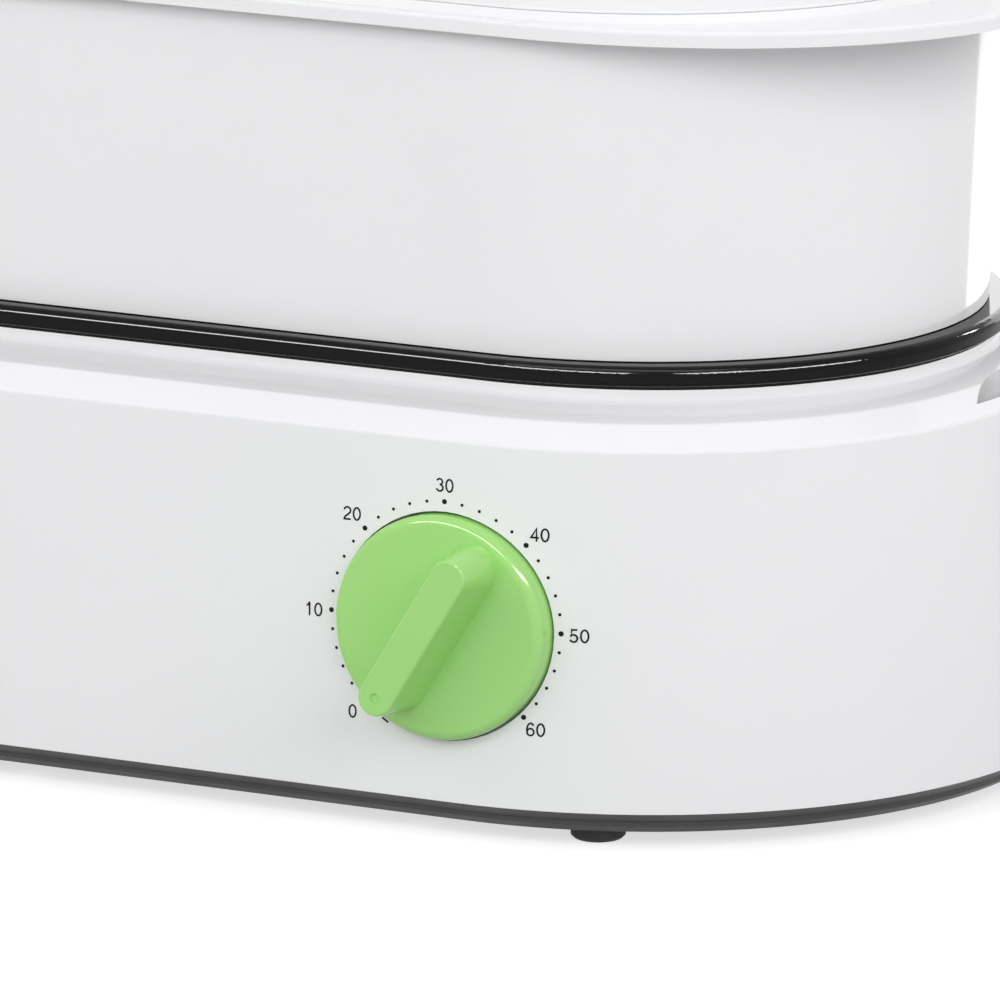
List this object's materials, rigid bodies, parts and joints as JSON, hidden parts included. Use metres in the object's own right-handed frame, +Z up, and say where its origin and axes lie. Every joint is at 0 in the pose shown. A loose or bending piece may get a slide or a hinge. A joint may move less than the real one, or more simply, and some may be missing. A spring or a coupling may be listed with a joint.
{
  "type": "electric food steamer",
  "caption": "Two-tier oval food steamer: white water base with a bar-grip timer knob, black drip tray, stacking bowls with lift-out grates and a clear lid.",
  "frame": {"origin": "on the table, midway between the four feet, which is also the middle of the overall box", "axes": "+Z up; +X to the right seen from the front, along the length; the front with the knob faces -Y"},
  "size_m": [0.406, 0.2811, 0.3882],
  "materials": {
    "white_plastic": "glossy white moulded polypropylene",
    "tank_plastic": "off-white heat-resistant polypropylene",
    "charcoal_plastic": "satin charcoal",
    "black_plastic": "high-gloss black",
    "green_plastic": "glossy apple green",
    "clear_plastic": "clear moulded styrene copolymer",
    "foot_rubber": "matt black rubber",
    "silicone": "translucent white silicone",
    "stainless_steel": "pressed and brushed",
    "zinc_steel": "bright zinc plate",
    "brass": "plain",
    "phenolic": "dark brown moulded"
  },
  "bodies": {
    "base": {"bottom_plate": "charcoal_plastic", "feet": "foot_rubber", "plate_screws": "zinc_steel", "base_housing": "white_plastic", "water_tank": "tank_plastic", "heater_gasket": "silicone", "heater_dish": "stainless_steel", "heater_element": "stainless_steel", "heater_clamp": "zinc_steel", "heater_nuts": "zinc_steel", "thermostat": "phenolic", "thermal_fuse": "brass", "cord_inlet": "charcoal_plastic", "terminal_block": "phenolic", "timer_plate": "zinc_steel", "timer_screws": "zinc_steel", "timer_case": "phenolic", "timer_bell": "zinc_steel", "bell_screw": "zinc_steel", "timer_contacts": "brass"},
    "timer_knob": {"knob": "green_plastic", "knob_clip": "zinc_steel", "timer_shaft": "zinc_steel", "timer_cam": "phenolic"},
    "sleeve": {"steam_sleeve": "tank_plastic"},
    "tray": {"drip_tray": "black_plastic"},
    "bowl_1": {"lower_bowl": "white_plastic"},
    "grate_1": {"lower_grate": "white_plastic"},
    "bowl_2": {"upper_bowl": "white_plastic"},
    "grate_2": {"upper_grate": "white_plastic"},
    "lid_unit": {"lid": "clear_plastic", "lid_handle": "green_plastic", "handle_screws": "zinc_steel"}
  },
  "joints": [
    {"name": "timer_turn", "type": "hinge", "parent": "base", "child": "timer_knob", "pos_m": [0.0711, -0.11889, 0.0592], "axis": [0, 0.9995, -0.0311], "range_deg": [0, 284]},
    {"name": "sleeve_lift", "type": "slide", "parent": "base", "child": "sleeve", "axis": [0, 0, 1], "range_m": [0, 0.022]},
    {"name": "tray_lift", "type": "slide", "parent": "base", "child": "tray", "axis": [0, 0, 1], "range_m": [0, 0.06]},
    {"name": "bowl_1_lift", "type": "slide", "parent": "tray", "child": "bowl_1", "axis": [0, 0, 1], "range_m": [0, 0.06]},
    {"name": "grate_1_lift", "type": "slide", "parent": "bowl_1", "child": "grate_1", "axis": [0, 0, 1], "range_m": [0, 0.08]},
    {"name": "bowl_2_lift", "type": "slide", "parent": "bowl_1", "child": "bowl_2", "axis": [0, 0, 1], "range_m": [0, 0.06]},
    {"name": "grate_2_lift", "type": "slide", "parent": "bowl_2", "child": "grate_2", "axis": [0, 0, 1], "range_m": [0, 0.08]},
    {"name": "lid_lift", "type": "slide", "parent": "bowl_2", "child": "lid_unit", "axis": [0, 0, 1], "range_m": [0, 0.06]}
  ]
}
